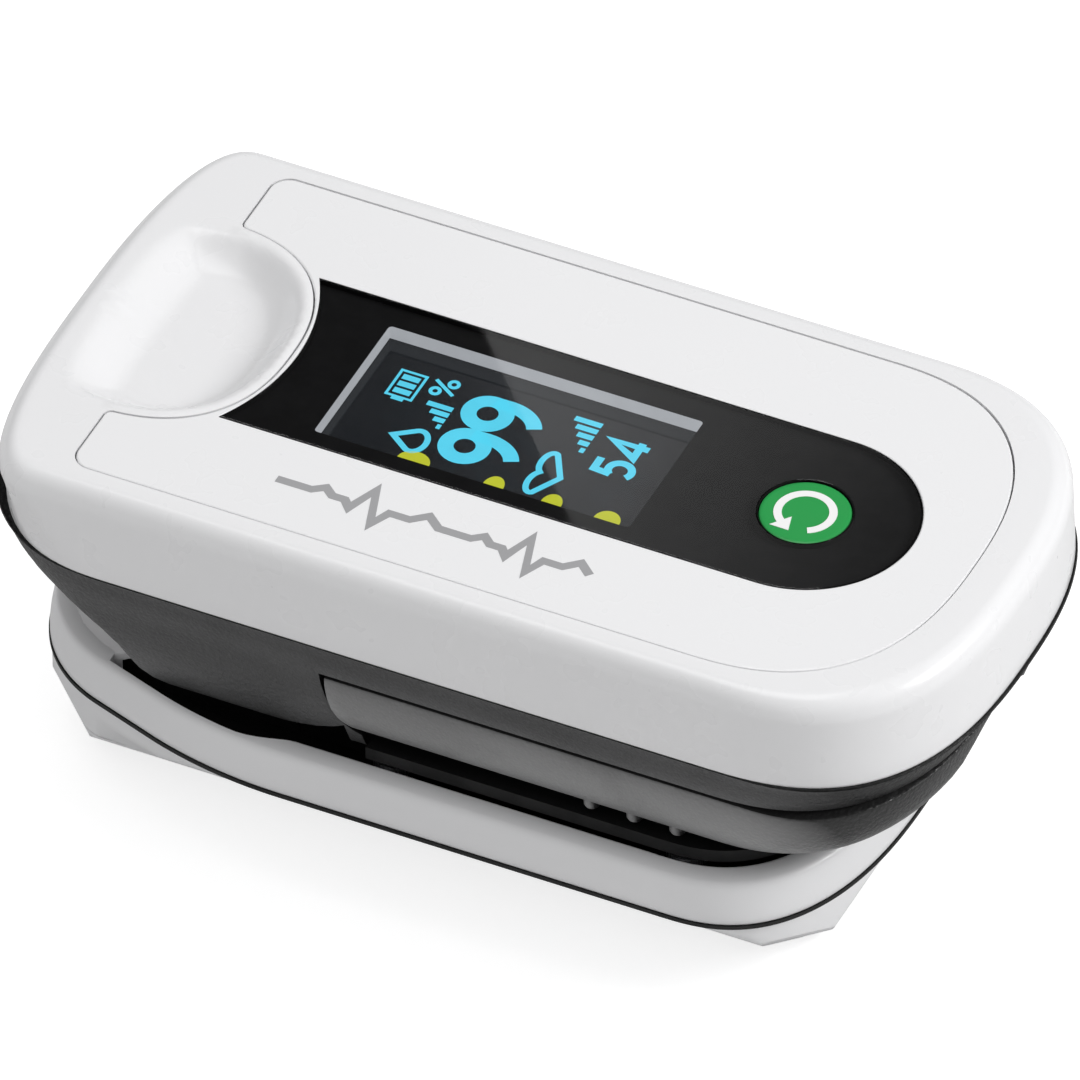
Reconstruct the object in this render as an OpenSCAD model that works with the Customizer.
// Fingertip pulse oximeter: a spring-loaded clip of two arms joined by a rear hinge pin.
// +X points to the finger entry, +Y to the far side, +Z up. The origin lies on the rest
// face, below the middle of the top cover.

/* [Overall] */
// Length of the top cover
cover_len = 61; // [60:0.5:62]
// Width of the top cover
cover_w = 32.4; // [32.2:0.1:33]
// Height of the closed clip over its rest face
total_h = 26.5; // [26.5:0.1:27]
// Wall of the moulded shells
wall = 1.3; // [1.1:0.1:1.4]

/* [Top face] */
// Length of the display opening
aperture_len = 19.9; // [19:0.1:20]
// Width of the display opening
aperture_w = 10.2; // [9.8:0.1:10.2]
// Radius of the power button
button_r = 2.68; // [2.4:0.02:2.7]
// How far the button travels
button_travel = 0.4; // [0.2:0.1:0.4]
// Depth of the thumb dish
dish_depth = 1.5; // [1:0.1:1.6]

/* [Hinge] */
// Distance of the hinge pin behind the middle of the cover
hinge_back = 14; // [13.8:0.1:14.2]
// Height of the hinge pin
hinge_z = 15; // [15:0.1:15.1]
// Radius of the hinge pin
pin_r = 1; // [0.9:0.05:1]
// Radial clearance of the pin in its bores
pin_gap = 0.05; // [0.03:0.01:0.08]

/* [Batteries] */
// Diameter of a cell
cell_d = 10.5; // [10.2:0.1:10.5]
// Length of a cell with its nub
cell_len = 44.5; // [44:0.1:44.5]

/* [Hidden] */
$fn = 64;

// Top stack, measured down from the top face
top_z = total_h;
panel_z = top_z - 1.2;
mask_z = top_z - 0.5;
lens_z = top_z - 0.4;
cover_z = top_z - 5.6;
rear_x = -cover_len / 2;
front_x = cover_len / 2;
cover_hw = cover_w / 2;
front_bulge_r = 29;
edge_r = 2.2;
edge_step = 0.45;
rear_corner_r = 10.6;
front_corner_r = 10;

// Face panel: margins from the cover, half-width and the round notch beside the dish
panel_rear_margin = 7.1;
panel_front_margin = 3.3;
panel_hw = 14;
notch_r = 9.2;
notch_x = rear_x + 4.9;

// Black window: a bar with a semicircular front end and a concave rear end
window_hw = 6.67;
button_x = front_x - 13.97;
button_gap = 0.1;
window_rear_x = rear_x + 13.2;
window_notch_r = 12.1;
aperture_x = rear_x + 18.4;
dish_x = rear_x + 8.4;
dish_half_len = 5.3;
dish_hw = 8.3;
dish_plan_r = 9.1;

// Electronics
board_z = 22.2;
board_t = 0.8;
oled_z = board_z + board_t + 0.06;
oled_top = top_z - 1.45;
post_x = [-17.6, 18.4];
post_y = 9.4;
floor_z = 19.2;
floor_t = 1;

// Finger channel
arch_r = 9.5;
arch_z = 8.8;
trough_r = 14;
trough_z = 26;
trough_rear_x = -3.2;
boss_y = 9;
upper_screw_x = [-24.5, 23.5];
head_bore_r = 1.75;
pilot_r = 0.75;
shank_r = 0.7;
sensor_x = 12;

// Hinge
hinge_x = -hinge_back;
ear_in = 9.7;
ear_out = 11.1;

// Upper housing and jaw frame
seam_z = 17.3;
jaw_z = 12.25;
jaw_rear_x = -6.8;

// Lower arm
cell_r = cell_d / 2;
cell_y = 5.45;
cell_z = 6.4;
cell_rear_x = -24.4;
nub_len = 1;
bay_r = cell_r + 0.15;
box_r = bay_r + 0.6;
bay_front_x = cell_rear_x + cell_len + 0.7;
bay_rear_x = cell_rear_x - 2.2;
deck_z = 8.5;
tray_z = 7.5;
tray_hw = 15.4;
tray_rear_x = -28.6;
tray_front_x = 24.3;
tray_wall = 1.6;
flank_r = 28;
flank_x = -9.5;
taper = 19;
corner_r = 9;
corner_y = 4.01;
hood_z = deck_z + 0.05;
door_z = 4.6;
nose_x = cell_rear_x + cell_len - nub_len + 0.3;
corner_cut = 17.8;
boat_hw = 7.9;
bay_hw = 10;
hood_front_x = -19.8;
rail_front_x = 16;
rail_y = 11.2;
rail_gap = 0.1;
tab_x = [-3.5, 15];
tab_y = 12.4;
tab_r = 1.3;

// ---------- shared shapes ----------

// Plan outline with rear corners of radius rr, front corners of radius rf
module outline(x0, x1, hw, rr, rf) {
    intersection() {
        union() {
            translate([x0 + rr, -hw]) square([x1 - rf - x0 - rr, 2 * hw]);
            translate([x0, -hw + rr]) square([rr + 1, 2 * (hw - rr)]);
            translate([x1 - rf - 1, -hw + rf]) square([rf + 1, 2 * (hw - rf)]);
            for (s = [-1, 1]) {
                translate([x0 + rr, s * (hw - rr)]) circle(rr);
                translate([x1 - rf, s * (hw - rf)]) circle(rf);
            }
        }
        union() {
            translate([x1 - front_bulge_r, 0]) circle(front_bulge_r, $fn = 180);
            translate([x0 - 1, -hw - 1])
                square([max(x1 - front_bulge_r - x0, 0) + 1, 2 * hw + 2]);
        }
    }
}

module slab(z, t) {
    translate([0, 0, z]) linear_extrude(t) children();
}

// A side outline in X and Z, carried across a width in Y
module side(y0, y1, points) {
    translate([0, y1, 0]) rotate([90, 0, 0]) linear_extrude(y1 - y0) polygon(points);
}

// A front outline in Y and Z, mirrored about Y = 0, carried from x0 to x1
module section(x0, x1, half) {
    mirrored = [for (i = [len(half) - 1:-1:0]) [-half[i][0], half[i][1]]];
    translate([x0, 0, 0]) rotate([90, 0, 90]) linear_extrude(x1 - x0)
        polygon(concat(half, mirrored));
}

module rod_x(x0, x1, y, z, r) {
    translate([x0, y, z]) rotate([0, 90, 0]) cylinder(r = r, h = x1 - x0);
}

module rod_y(y0, y1, x, z, r) {
    translate([x, y0, z]) rotate([-90, 0, 0]) cylinder(r = r, h = y1 - y0);
}

module box(x0, x1, y0, y1, z0, z1) {
    translate([x0, y0, z0]) cube([x1 - x0, y1 - y0, z1 - z0]);
}

module both_sides() {
    children();
    mirror([0, 1, 0]) children();
}

// Round wire along a path; each ring lies in the plane of two given directions
module wire(path, u, v, r) {
    sides = 8;
    n = len(path);
    ring = [for (i = [0:n - 1], k = [0:sides - 1])
        path[i] + r * (cos(360 * k / sides) * u[i] + sin(360 * k / sides) * v[i])];
    skin = [for (i = [0:n - 2], k = [0:sides - 1]) let (a = i * sides, b = (k + 1) % sides)
        [a + k, a + b, a + sides + b, a + sides + k]];
    ends = [[for (k = [sides - 1:-1:0]) k], [for (k = [0:sides - 1]) (n - 1) * sides + k]];
    polyhedron(points = ring, faces = concat(skin, ends));
}

// ---------- upper arm ----------

module cover_layers(inset, z0) {
    function rise(t) = top_z - inset - edge_r * (1 - sin(t));
    hull() {
        slab(z0, 0.01)
            outline(rear_x + inset, front_x - inset, cover_hw - inset,
                rear_corner_r - inset, front_corner_r - inset);
        for (t = [0:18:90]) {
            shrink = inset + edge_step + edge_r * (1 - cos(t));
            slab(rise(t) - 0.01, 0.01) outline(rear_x + shrink, front_x - shrink,
                cover_hw - shrink, rear_corner_r - shrink, front_corner_r - shrink);
        }
    }
}

module panel_outline(grow) {
    difference() {
        outline(rear_x + panel_rear_margin - grow, front_x - panel_front_margin + grow,
            panel_hw + grow, 3 + grow, 10.4 + grow);
        translate([notch_x, 0]) circle(notch_r - grow);
    }
}

module dish_cut() {
    long_r = (pow(dish_half_len, 2) + pow(dish_depth, 2)) / (2 * dish_depth);
    wide_r = (pow(dish_hw, 2) + pow(dish_depth, 2)) / (2 * dish_depth);
    intersection() {
        rod_y(-9, 9, dish_x, top_z - dish_depth + long_r, long_r);
        rod_x(-30, -14, 0, top_z - dish_depth + wide_r, wide_r);
        slab(top_z - dish_depth - 1, 4) translate([dish_x - 3.8, 0]) circle(dish_plan_r);
    }
}

module top_cover() {
    color("white") difference() {
        union() {
            difference() {
                cover_layers(0, cover_z);
                cover_layers(wall, cover_z - 1);
            }
            // thumb rest under the dish and the ledge under the face panel
            intersection() {
                cover_layers(0.5, cover_z);
                slab(panel_z - 1.2, 2.3)
                    outline(rear_x + 1, front_x - 1, cover_hw - 1, 9.6, 9);
            }
            // screw bosses
            both_sides() {
                for (x = upper_screw_x)
                    translate([x, boss_y, floor_z + floor_t + 0.1]) cylinder(r = 1.9, h = 4);
            }
        }
        slab(panel_z, 2) panel_outline(0.05);
        slab(panel_z - 2, 3) difference() {
            panel_outline(-1.2);
            translate([upper_screw_x[1], boss_y]) circle(2);
            translate([upper_screw_x[1], -boss_y]) circle(2);
        }
        dish_cut();
        both_sides() {
            for (x = upper_screw_x)
                translate([x, boss_y, floor_z]) cylinder(r = pilot_r, h = 4.2);
        }
    }
}

module window_outline(grow) {
    difference() {
        union() {
            translate([window_rear_x - grow, -window_hw - grow])
                square([button_x - window_rear_x + grow, 2 * (window_hw + grow)]);
            translate([button_x, 0]) circle(window_hw + grow);
        }
        translate([window_rear_x - 10.2, 0]) circle(window_notch_r - grow);
    }
}

module face_panel() {
    color("whitesmoke") difference() {
        slab(panel_z, top_z - panel_z) panel_outline(-0.05);
        slab(mask_z, 1) window_outline(0.04);
        slab(panel_z - 1, 3) window_outline(-0.6);
    }
}

module window_lens() {
    color([0.1, 0.1, 0.12]) difference() {
        slab(lens_z, top_z - lens_z) window_outline(0);
        translate([button_x, 0, lens_z - 1]) cylinder(r = button_r + button_gap, h = 3);
    }
}

module aperture(grow) {
    translate([aperture_x - grow, -aperture_w / 2 - grow])
        square([aperture_len + 2 * grow, aperture_w + 2 * grow]);
}

module window_mask() {
    color("black") difference() {
        slab(mask_z + 0.01, lens_z - mask_z - 0.02) window_outline(0);
        translate([button_x, 0, mask_z - 1]) cylinder(r = button_r + button_gap, h = 3);
        slab(mask_z - 1, 3) aperture(0);
    }
}

module power_button() {
    color("seagreen") translate([button_x, 0, 0]) {
        translate([0, 0, top_z - 0.9]) cylinder(r = button_r, h = 0.85);
        translate([0, 0, top_z - 1.15]) cylinder(r = button_r + 0.5, h = 0.3);
        translate([0, 0, 24.95]) cylinder(r = 1.3, h = top_z - 26);
    }
}

module switch_plunger() {
    color("dimgray") translate([button_x, 0, 23.85]) cylinder(r = 1.2, h = 1.05);
}

module tact_switch() {
    base = board_z + board_t;
    color("silver") difference() {
        box(button_x - 2.6, button_x + 2.6, -2.6, 2.6, base + 0.01, 24.3);
        translate([button_x, 0, 23.35]) cylinder(r = 1.26, h = 2);
    }
}

module display_frame() {
    base = board_z + board_t + 0.05;
    color("gainsboro") difference() {
        union() {
            slab(base, panel_z - 0.15 - base) aperture(1.5);
            slab(base, mask_z - 0.05 - base) aperture(0.75);
        }
        slab(base - 1, 5) aperture(0);
        slab(base - 1, oled_top + 0.05 - base + 1) aperture(0.6);
    }
}

module oled_display() {
    color([0.12, 0.13, 0.15]) slab(oled_z, oled_top - oled_z) aperture(0.5);
}

module main_board() {
    color("darkgreen") difference() {
        slab(board_z, board_t) outline(-19.5, 20.6, 11.4, 1, 1);
        for (s = [-1, 1]) translate([post_x[0], s * post_y, 20]) cylinder(r = 0.8, h = 5);
    }
}

module board_chips() {
    under = board_z - 0.02;
    color([0.15, 0.15, 0.15]) {
        box(-8, -1, -3.5, 3.5, under - 0.9, under);
        box(3, 7, -7, -3, under - 0.8, under);
        box(-15.5, -12, 4, 6, under - 1, under);
        for (i = [0:4]) box(2 + 2 * i, 3 + 2 * i, 6, 7.6, under - 0.6, under);
    }
}

// Side outline of the housing: sloped tail, low cheeks, straight seam over the jaw frame
housing_side = [[-31.9, 20.5], [-31.4, 20.7], [-29, 20.7], [-28.6, 19.9], [29.5, 19.9],
    [28.95, seam_z], [jaw_rear_x - 0.2, seam_z], [jaw_rear_x - 0.2, 15.5],
    [jaw_rear_x + 0.3, jaw_z + 0.4], [-9, 10.9], [-11.5, 10.35], [-16.4, 10.3], [-19, 11.2],
    [-20.2, 13.6], [-22.5, 15.8], [-27, 18.4]];
// Front outline of the housing and of the jaw frame below its seam
housing_half = [[0, 21], [15.5, 21], [15.5, 19.8], [14.9, seam_z], [14.4, 14.5],
    [13.5, 12.2], [12.5, 10.3], [0, 10.3]];

module upper_housing() {
    color([0.2, 0.2, 0.21]) difference() {
        union() {
            intersection() {
                side(-16, 16, housing_side);
                section(-33, 31, housing_half);
                slab(0, 30) outline(-31.9, 29.6, 15.6, 11.5, 10.2);
            }
            // lip that stands inside the cover
            slab(19.8, 1.8) difference() {
                outline(rear_x + 1.75, front_x - 1.75, cover_hw - 1.75, 9.2, 8.4);
                outline(rear_x + 2.8, front_x - 2.8, cover_hw - 2.8, 8.2, 7.4);
            }
        }
        // room over the floor for the electronics
        slab(floor_z + floor_t, 5) outline(rear_x + 2.8, front_x - 2.8, cover_hw - 2.8, 8.2, 7.4);
        // room under the floor for the finger pad
        slab(10, floor_z - 10) outline(-8, 26.6, 12.7, 1, 8);
        // room for the hinge ears and the coil springs, and the tail's relief
        side(-11.25, 11.25, [[-34, 5], [-34, 17.9], [-29, 16.6], [-19, 13.95], [-19, 17.9],
            [-6, 17.9], [-6, 5]]);
        slab(17, 3) outline(-26.4, -20, 9, 2, 2);
        // pin bores, sensor window and cable slot
        rod_y(-12.4, 12.4, hinge_x, hinge_z, pin_r + pin_gap);
        slab(floor_z - 1, 4) translate([sensor_x - 3.1, -3.1]) square(6.2);
        slab(floor_z - 3, 6) translate([-12.6, -1.7]) square([2, 3.4]);
        both_sides() {
            for (x = upper_screw_x) {
                translate([x, boss_y, floor_z - 1]) cylinder(r = 0.8, h = 4);
                translate([x, boss_y, 14]) cylinder(r = head_bore_r, h = floor_z - 14 + 0.3);
            }
        }
    }
    // board posts
    color([0.2, 0.2, 0.21]) both_sides() {
        for (x = post_x)
            translate([x, post_y, floor_z + floor_t - 0.1])
                cylinder(r = 1.2, h = board_z - floor_z - floor_t + 0.05);
    }
}

module jaw_frame() {
    color([0.32, 0.32, 0.33]) {
        difference() {
            intersection() {
                side(-16, 16, [[jaw_rear_x, 17], [28.8, 17], [28.5, 15], [27.6, 13.4],
                    [26.2, jaw_z], [jaw_rear_x + 0.9, jaw_z], [jaw_rear_x + 0.2, 15]]);
                section(-10, 31, [[0, 17], [14.85, 17], [14.7, 15.2], [14.2, 13.5],
                    [13.45, jaw_z], [0, jaw_z]]);
                slab(0, 30) outline(-20, 28.8, 15, 3, 9.6);
            }
            slab(10, 10) outline(-9, 25.4, 12.6, 1, 7.4);
            rod_x(20, 32, 0, arch_z + 1.8, 6.2);
        }
        // grip nubs under the lower edge
        both_sides() {
            for (x = [9.2, 11.9, 14.6])
                translate([x, 13, jaw_z - 0.45]) cylinder(r = 0.5, h = 0.6);
        }
    }
}

module upper_finger_pad() {
    color([0.08, 0.08, 0.09]) difference() {
        slab(jaw_z + 0.1, floor_z - jaw_z - 0.2) outline(jaw_rear_x + 0.8, 25.3, 12.5, 1, 7.3);
        rod_x(-3.5, 27, 0, arch_z, arch_r);
        box(-7, -3, -10.4, 10.4, 12, 12.7);
        translate([sensor_x, 0, 15]) cylinder(r = 2.3, h = 6);
        both_sides() translate([upper_screw_x[1], boss_y, 16.5])
            cylinder(r = head_bore_r, h = 4);
    }
}

module sensor_window() {
    color([0.35, 0.08, 0.08, 0.7]) translate([sensor_x, 0, 18.35]) cylinder(r = 2.2, h = 0.75);
}

module photodiode_board() {
    color("darkgreen") box(sensor_x - 2.9, sensor_x + 2.9, -2.9, 2.9, floor_z, floor_z + 0.5);
    color("dimgray") box(sensor_x - 1.2, sensor_x + 1.2, -1.2, 1.2, floor_z + 0.45, floor_z + 1.2);
}

module sensor_flex() {
    color("orange") union() {
        box(sensor_x + 1.4, sensor_x + 2.6, -1.5, 1.5, floor_z + 0.52, floor_z + 0.72);
        box(sensor_x + 2.4, sensor_x + 2.6, -1.5, 1.5, floor_z + 0.52, board_z - 0.02);
    }
}

module upper_screws() {
    color("silver") both_sides() {
        for (x = upper_screw_x) {
            translate([x, boss_y, floor_z - 0.85]) cylinder(r = 1.6, h = 1.1);
            translate([x, boss_y, floor_z + 0.2]) cylinder(r = shank_r, h = 3.8);
        }
    }
}

// ---------- lower arm ----------

// Plan outline of the tray: round rear corners, flanks that taper in a long curve
module tray_outline(inset) {
    corner = [tray_rear_x + corner_r, corner_y];
    half = concat(
        [for (i = [0:6]) let (a = 180 - (90 - taper) * i / 6)
            corner + (corner_r - inset) * [cos(a), sin(a)]],
        [for (i = [0:4]) let (a = 90 + taper - taper * i / 4)
            [flank_x, tray_hw - flank_r] + (flank_r - inset) * [cos(a), sin(a)]]);
    mirrored = [for (i = [len(half) - 1:-1:0]) [half[i][0], -half[i][1]]];
    intersection() {
        outline(tray_rear_x - 1, tray_front_x - inset, tray_hw - inset, 1, 8.6 - inset);
        polygon(concat(half, [[30, tray_hw], [30, -tray_hw]], mirrored));
    }
}

// Rear hood of the tray over the battery ends, with the slots for the cheeks beside it
module hood(z_drop, inset, z0) {
    intersection() {
        section(-30, hood_front_x, [[0, 12.55 - z_drop], [8.2 - inset, 12.5 - z_drop],
            [10.2 - inset, 11.7 - z_drop], [11.1 - inset, 10.2], [11.1 - inset, z0], [0, z0]]);
        side(-16, 16, [[-28.2 + inset, z0], [-28.2 + inset, 10.2],
            [-26.8 + inset, 11.9 - z_drop], [-25.4 + inset, 12.6 - z_drop],
            [hood_front_x + 1, 12.6 - z_drop], [hood_front_x + 1, z0]]);
        slab(0, 20) tray_outline(inset + 0.3);
    }
}

module lower_tray() {
    color("gainsboro") difference() {
        union() {
            difference() {
                intersection() {
                    slab(tray_z, 2.9) tray_outline(0);
                    section(-30, 30, [[0, tray_z], [tray_hw, tray_z], [tray_hw - 0.1, 8.6],
                        [tray_hw - 0.45, 10.1], [tray_hw - 0.8, 10.4], [0, 10.4]]);
                }
                slab(tray_z - 1, 6) difference() {
                    tray_outline(tray_wall);
                    translate([-40, -20]) square([18, 40]);
                }
                slab(tray_z - 1, deck_z + 1.05 - tray_z) tray_outline(tray_wall);
                slab(10.2, 2) difference() {
                    tray_outline(tray_wall);
                    translate([-5, -20]) square([40, 40]);
                }
            }
            hood(0, 0, hood_z);
            // screw tabs
            intersection() {
                both_sides() {
                    for (x = tab_x) {
                        translate([x, tab_y, deck_z + 0.05]) cylinder(r = tab_r, h = 1.3);
                        box(x - tab_r, x + tab_r, tab_y, 14.4, deck_z + 0.05, deck_z + 1.35);
                    }
                }
                slab(tray_z, 2.9) tray_outline(0.4);
            }
        }
        hood(0.7, 0.35, tray_z - 1);
        // slots that the cheeks of the upper arm dip into
        slab(hood_z - 0.5, 3) intersection() {
            tray_outline(0.75);
            union() {
                translate([-21.9, 11.15]) square([16, 5]);
                translate([-21.9, -16.15]) square([16, 5]);
            }
        }
        both_sides() {
            for (x = tab_x) translate([x, tab_y, 5]) cylinder(r = pilot_r, h = 6);
        }
    }
}

// Boat-shaped underside: flat foot, then 45 degree flanks up to the tray
module boat(inset, z0, z1) {
    difference() {
        boat_blank(inset, z0, z1);
        // front corners, drawn in towards the foot
        both_sides() rotate([0, 0, 45])
            side(-30, 30, [[corner_cut - 2, -2], [60, -2], [60, 60 - corner_cut]]);
    }
}

module boat_blank(inset, z0, z1) {
    intersection() {
        section(-32, 30, [[0, inset], [boat_hw - 0.4 * inset, inset],
            [boat_hw + 7.4 - inset, 7.2], [boat_hw + 7.4 - inset, 8.6], [0, 8.6]]);
        side(-16, 16, [[-24.5 + inset, inset], [20.6 - inset, inset], [21.4 - inset, 1.6],
            [24 - inset, 7.2], [24 - inset, 8.6], [-28.4 + inset, 8.6],
            [-28.4 + inset, 3]]);
        slab(z0, z1 - z0) tray_outline(0.15 + inset);
    }
}

module bay(r, x0, x1) {
    both_sides() rod_x(x0, x1, cell_y, cell_z, r);
}

module battery_box() {
    color([0.88, 0.88, 0.89]) difference() {
        union() {
            boat(0, door_z, tray_z - 0.05);
            // nose in front of the door
            intersection() {
                boat(0, 0.2, door_z + 0.1);
                slab(0, 8) translate([nose_x + 0.1, -20]) square([20, 40]);
            }
            intersection() {
                boat(0, tray_z - 0.5, deck_z);
                slab(tray_z - 0.5, 2) tray_outline(1.7);
            }
            intersection() {
                union() {
                    bay(box_r, bay_rear_x - 0.8, bay_front_x + 0.8);
                    box(bay_rear_x - 0.8, bay_front_x + 0.8, -cell_y, cell_y, 5, 8.9);
                }
                union() {
                    intersection() {
                        slab(door_z, 10) tray_outline(1.7);
                        box(hood_front_x + 0.1, 30, -20, 20, 0, 20);
                    }
                    hood(0.95, 0.9, tray_z - 0.1);
                    slab(door_z, tray_z - 0.05 - door_z) tray_outline(0.9);
                }
            }
            // hinge ears
            both_sides() {
                side(ear_in, ear_out, [[hinge_x - 4, deck_z - 0.5], [hinge_x + 4, deck_z - 0.5],
                    [hinge_x + 2, hinge_z], [hinge_x - 2, hinge_z]]);
                rod_y(ear_in, ear_out, hinge_x, hinge_z, 2.1);
            }
        }
        intersection() {
            union() {
                bay(bay_r, bay_rear_x, nose_x - 0.1);
                box(bay_rear_x, nose_x - 0.1, -bay_hw, bay_hw, -1, cell_z);
                // pocket for the front contacts
                box(nose_x - 1, bay_front_x, -8.7, 8.7, 3.9, 8.8);
            }
            slab(-2, 20) tray_outline(0.7);
        }
        // door rails, open to the rear
        both_sides() {
            box(-40, rail_front_x + rail_gap, rail_y - rail_gap, rail_y + 0.5 + rail_gap, 4, 6.1);
            box(-40, rail_front_x + rail_gap, rail_y - rail_gap, rail_y + 1 + rail_gap, 5.3, 6.1);
        }
        rod_y(-12, 12, hinge_x, hinge_z, pin_r + pin_gap);
        both_sides() {
            for (x = tab_x) translate([x, tab_y, 6.6]) cylinder(r = pilot_r, h = 4);
        }
    }
}

module battery_door() {
    color([0.85, 0.85, 0.86]) {
        difference() {
            boat(0, 0, door_z - 0.05);
            // hollow under the cells, open to the front
            bay(bay_r, bay_rear_x - 0.2, 30);
            box(bay_rear_x - 0.2, 30, -cell_y, cell_y, 0.95, 8);
            box(nose_x, 30, -20, 20, -1, 8);
        }
        // hooked tongues that run in the rails
        intersection() {
            both_sides() {
                box(-22, rail_front_x, rail_y, rail_y + 0.5, door_z - 0.5, 6);
                box(-22, rail_front_x, rail_y, rail_y + 1, 5.4, 6);
            }
            slab(0, 20) tray_outline(1);
        }
    }
}

module lower_finger_pad() {
    color([0.08, 0.08, 0.09]) difference() {
        union() {
            // surround that fills the tray
            intersection() {
                slab(10.6, 0.9) tray_outline(1.2);
                box(-5, 26, -14, 14, 10, 12);
            }
            // skin over the battery tubes
            intersection() {
                bay(box_r + 0.6, trough_rear_x, 22.4);
                box(trough_rear_x, 22.4, -11, 11, 10.6, 13);
            }
            // raised trough
            box(trough_rear_x, 22.4, -7.4, 7.4, 10.6, 14.2);
        }
        bay(box_r + 0.05, bay_rear_x - 2, bay_front_x + 3);
        rod_x(-8, 27, 0, trough_z, trough_r);
        translate([sensor_x, 0, 8]) cylinder(r = 1.9, h = 6);
        box(sensor_x - 4.1, sensor_x + 4.1, -1.3, 1.3, 8, 11.2);
    }
}

module led_window() {
    color([0.9, 0.3, 0.3, 0.6]) translate([sensor_x, 0, 11.65]) cylinder(r = 1.8, h = 0.35);
}

module led_board() {
    color("darkgreen") box(sensor_x - 4, sensor_x + 4, -1.15, 1.15, 10.68, 11.08);
}

module led_emitters() {
    color("gold") {
        for (x = [-0.7, 0.7])
            box(sensor_x + x - 0.45, sensor_x + x + 0.45, -0.45, 0.45, 11.09, 11.55);
    }
}

module cell(y, nub_front) {
    x0 = cell_rear_x;
    x1 = cell_rear_x + cell_len - nub_len;
    color([0.3, 0.32, 0.36]) union() {
        rod_x(x0, x1, y, cell_z, cell_r);
        rod_x(nub_front ? x1 - 0.1 : x0 - nub_len, nub_front ? x1 + nub_len : x0 + 0.1,
            y, cell_z, 1.9);
    }
}

module battery_left() {
    cell(cell_y, true);
}

module battery_right() {
    cell(-cell_y, false);
}

module rear_contact_bridge() {
    color("silver") union() {
        box(bay_rear_x + 0.05, bay_rear_x + 0.35, -6.9, 6.9, 4.2, 6.3);
        both_sides() rod_x(bay_rear_x + 0.05, bay_rear_x + 0.35, cell_y, cell_z, 1.5);
        rod_x(bay_rear_x + 0.3, cell_rear_x - nub_len - 0.05, -cell_y, cell_z, 1.5);
    }
}

// Coil spring that presses on the flat end of the left cell
module coil_contact() {
    wire_r = 0.25;
    coil_r = 2.2;
    turns = 1.5;
    steps = 60;
    x0 = bay_rear_x + 0.35 + wire_r + 0.03;
    run = cell_rear_x - 0.05 - wire_r - x0;
    angles = [for (i = [0:steps]) 360 * turns * i / steps];
    path = [for (i = [0:steps]) [x0 + run * i / steps, cell_y + coil_r * cos(angles[i]),
        cell_z + coil_r * sin(angles[i])]];
    color("silver") wire(path, [for (a = angles) [0, cos(a), sin(a)]],
        [for (a = angles) [-1, 0, 0]], wire_r);
}

module front_contacts() {
    x1 = cell_rear_x + cell_len + 0.03;
    x2 = x1 - nub_len;
    color("silver") {
        box(x1, x1 + 0.4, cell_y - 3, cell_y + 3, 4.2, 8.6);
        box(x2, x2 + 0.4, -cell_y - 3, -cell_y + 3, 4.2, 8.6);
    }
}

module hinge_pin() {
    color("silver") rod_y(-12.3, 12.3, hinge_x, hinge_z, pin_r);
}

// Coils round the pin; one leg of each presses down on the box, one up on the housing
module torsion_springs() {
    wire_r = 0.35;
    coil_r = 2;
    turns = 4.5;
    steps = 108;
    start = 180;
    angles = [for (i = [0:steps]) start + 360 * turns * i / steps];
    coil = [for (i = [0:steps]) [hinge_x + coil_r * cos(angles[i]), 3.4 + 4.4 * i / steps,
        hinge_z + coil_r * sin(angles[i])]];
    u = [for (a = angles) [cos(a), 0, sin(a)]];
    v = [for (a = angles) [0, -1, 0]];
    color("silver") both_sides() wire(coil, u, v, wire_r);
}

// Flat cable that bends round the pin between the two arms
module hinge_cable() {
    color("saddlebrown") translate([hinge_x, 1.4, hinge_z]) rotate([90, 0, 0])
        linear_extrude(2.8) intersection() {
            difference() {
                circle(2.6);
                circle(2.35);
            }
            translate([0.3, -3]) square([3, 6]);
        }
}

module lower_screws() {
    color("silver") both_sides() {
        for (x = tab_x) {
            translate([x, tab_y, deck_z + 1.37]) cylinder(r = 1.3, h = 0.6);
            translate([x, tab_y, 6.7]) cylinder(r = shank_r, h = deck_z - 5.3);
        }
    }
}

top_cover();
face_panel();
window_lens();
window_mask();
power_button();
switch_plunger();
tact_switch();
display_frame();
oled_display();
main_board();
board_chips();
upper_housing();
jaw_frame();
upper_finger_pad();
sensor_window();
photodiode_board();
sensor_flex();
upper_screws();
lower_tray();
battery_box();
lower_finger_pad();
led_window();
led_board();
led_emitters();
battery_left();
battery_right();
rear_contact_bridge();
coil_contact();
front_contacts();
battery_door();
hinge_pin();
torsion_springs();
hinge_cable();
lower_screws();
